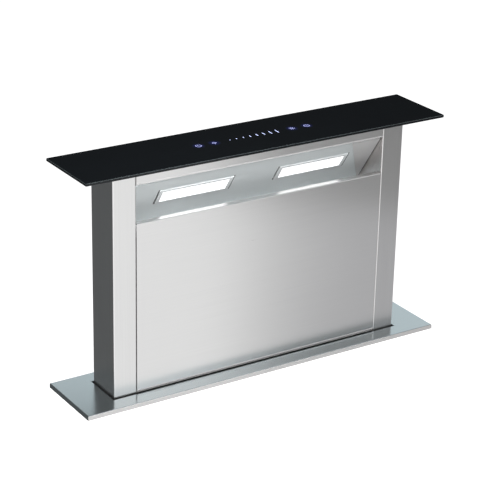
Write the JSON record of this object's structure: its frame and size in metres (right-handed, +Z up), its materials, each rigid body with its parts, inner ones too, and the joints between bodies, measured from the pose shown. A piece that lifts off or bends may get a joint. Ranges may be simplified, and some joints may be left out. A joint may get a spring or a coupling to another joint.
{
  "type": "downdraft vent",
  "caption": "Worktop downdraft vent with a rising steel chimney, black glass touch top, lit intake slot, belt lift, and an under-worktop chassis with a scroll blower and round side outlet.",
  "frame": {"origin": "centre of the worktop flange's underside, on the worktop's surface", "axes": "+Z up, +Y away from the cook, +X to the cook's right"},
  "size_m": [0.6, 0.2862, 1.022],
  "materials": {
    "black_glass": "polished black toughened glass",
    "brushed_steel": "fine brushed",
    "flange_steel": "fine brushed",
    "satin_steel": "satin",
    "lamp_rim": "satin silver",
    "lamp_diffuser": "opal",
    "galvanised_sheet": "galvanised",
    "zinc_plate": "zinc plated",
    "cast_aluminium": "as cast",
    "filter_aluminium": "expanded mesh",
    "ground_steel": "ground",
    "bearing_bronze": "sintered",
    "motor_paint": "satin black",
    "black_rubber": "matte",
    "black_plastic": "moulded",
    "grey_plastic": "moulded",
    "white_plastic": "moulded",
    "circuit_board": "green solder mask"
  },
  "bodies": {
    "chassis": {"worktop_flange": "flange_steel", "slot_wiper": "black_rubber", "chassis_front_wall": "galvanised_sheet", "chassis_rear_wall": "galvanised_sheet", "chassis_side_left": "galvanised_sheet", "chassis_side_right": "galvanised_sheet", "bottom_pan": "galvanised_sheet", "floor_foot_left": "zinc_plate", "floor_foot_right": "zinc_plate", "guide_rail_left": "zinc_plate", "guide_rail_right": "zinc_plate", "drive_belt_left": "black_rubber", "drive_belt_right": "black_rubber", "idler_bracket_left": "zinc_plate", "idler_bracket_right": "zinc_plate", "shaft_bearing_left": "bearing_bronze", "shaft_bearing_right": "bearing_bronze", "gearbox": "cast_aluminium", "lift_motor": "motor_paint", "blower_box": "galvanised_sheet", "blower_box_cover": "galvanised_sheet", "scroll_housing": "black_plastic", "inlet_ring": "black_plastic", "blower_motor": "motor_paint", "outlet_spigot": "black_plastic", "control_box": "grey_plastic", "control_box_lid": "grey_plastic", "cable_glands": "black_plastic", "control_board": "circuit_board", "chassis_screws": "zinc_plate"},
    "hood": {"glass_top": "black_glass", "top_plate": "zinc_plate", "touch_board": "circuit_board", "head_rail": "brushed_steel", "light_panel": "satin_steel", "lamp_housing_left": "lamp_rim", "lamp_housing_right": "lamp_rim", "lamp_lens_left": "lamp_diffuser", "lamp_lens_right": "lamp_diffuser", "column_left": "brushed_steel", "column_right": "brushed_steel", "front_panel": "brushed_steel", "front_apron": "brushed_steel", "rear_panel": "brushed_steel", "grease_filter_left": "filter_aluminium", "grease_filter_right": "filter_aluminium", "carriage_left": "zinc_plate", "carriage_right": "zinc_plate", "glide_shoe_left": "white_plastic", "glide_shoe_right": "white_plastic", "hood_screws": "zinc_plate"},
    "lift_shaft": {"cross_shaft": "ground_steel", "drive_pulley_left": "cast_aluminium", "drive_pulley_right": "cast_aluminium"},
    "idler_left": {"idler_pulley_left": "white_plastic"},
    "idler_right": {"idler_pulley_right": "white_plastic"},
    "wheel": {"impeller": "black_plastic", "motor_shaft": "ground_steel"},
    "flap_front": {"damper_flap_front": "grey_plastic"},
    "flap_rear": {"damper_flap_rear": "grey_plastic"}
  },
  "joints": [
    {"name": "hood_lift", "type": "slide", "parent": "chassis", "child": "hood", "axis": [0, 0, 1], "range_m": [-0.335, 0]},
    {"name": "lift_shaft_turn", "type": "hinge", "parent": "chassis", "child": "lift_shaft", "pos_m": [0, -0.02, -0.455], "axis": [1, 0, 0], "range_deg": [-1506, 0]},
    {"name": "idler_left_turn", "type": "hinge", "parent": "chassis", "child": "idler_left", "pos_m": [-0.261, -0.02, -0.025], "axis": [1, 0, 0], "range_deg": [-1506, 0]},
    {"name": "idler_right_turn", "type": "hinge", "parent": "chassis", "child": "idler_right", "pos_m": [0.261, -0.02, -0.025], "axis": [1, 0, 0], "range_deg": [-1506, 0]},
    {"name": "wheel_spin", "type": "hinge", "parent": "chassis", "child": "wheel", "pos_m": [0, -0.091, -0.533], "axis": [0, -1, 0], "continuous": true},
    {"name": "flap_front_swing", "type": "hinge", "parent": "chassis", "child": "flap_front", "pos_m": [0.18, -0.112, -0.42953], "axis": [0, 0, 1], "range_deg": [0, 75], "stiffness_Nm_per_rad": 0.01},
    {"name": "flap_rear_swing", "type": "hinge", "parent": "chassis", "child": "flap_rear", "pos_m": [0.18, -0.112, -0.42953], "axis": [0, 0, 1], "range_deg": [-75, 0], "stiffness_Nm_per_rad": 0.01}
  ],
  "couplings": [
    {"joint": "lift_shaft_turn", "follows": "hood_lift", "rad_per_m": 78.431},
    {"joint": "idler_left_turn", "follows": "hood_lift", "rad_per_m": 78.431},
    {"joint": "idler_right_turn", "follows": "hood_lift", "rad_per_m": 78.431}
  ]
}
